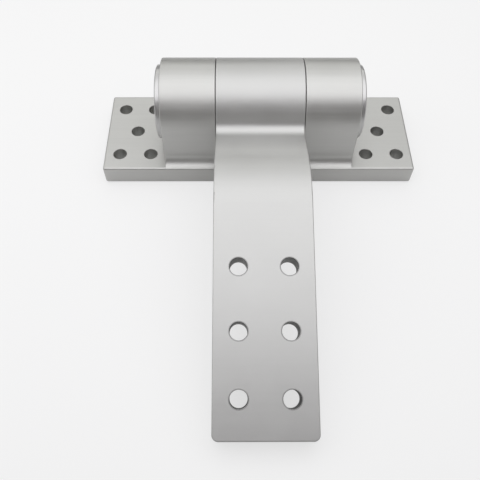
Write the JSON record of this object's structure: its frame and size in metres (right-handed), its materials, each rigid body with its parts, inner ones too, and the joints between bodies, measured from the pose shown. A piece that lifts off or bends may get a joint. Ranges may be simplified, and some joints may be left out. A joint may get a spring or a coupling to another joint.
{
  "type": "strap hinge",
  "caption": "Heavy cranked strap hinge in anodised aluminium: a bolt-down base with pedestal knuckles, and a drilled strap that swings up and over the barrel.",
  "frame": {"origin": "on the base's mounting face, straight below the middle of the barrel", "axes": "+X along the barrel, +Z away from the mounting face, the strap reaches towards -Y"},
  "size_m": [0.15, 0.1759, 0.05],
  "materials": {
    "anodised_aluminium": "bead blasted and clear anodised",
    "turned_aluminium": "fine turned and clear anodised",
    "steel": "ground",
    "blackened_steel": "oiled black",
    "bronze": "machined"
  },
  "bodies": {
    "base": {"base_leaf": "anodised_aluminium", "left_bush": "bronze", "left_thrust_washer": "bronze", "left_end_cap": "turned_aluminium", "right_bush": "bronze", "right_thrust_washer": "bronze", "right_end_cap": "turned_aluminium"},
    "strap": {"strap_leaf": "anodised_aluminium", "hinge_pin": "steel", "pin_lock_screw": "blackened_steel", "left_support_washer": "steel", "left_retaining_ring": "blackened_steel", "right_support_washer": "steel", "right_retaining_ring": "blackened_steel"}
  },
  "joints": [
    {"name": "strap_swing", "type": "hinge", "parent": "base", "child": "strap", "pos_m": [0, 0, 0.03], "axis": [-1, 0, 0], "range_deg": [0, 199]}
  ]
}
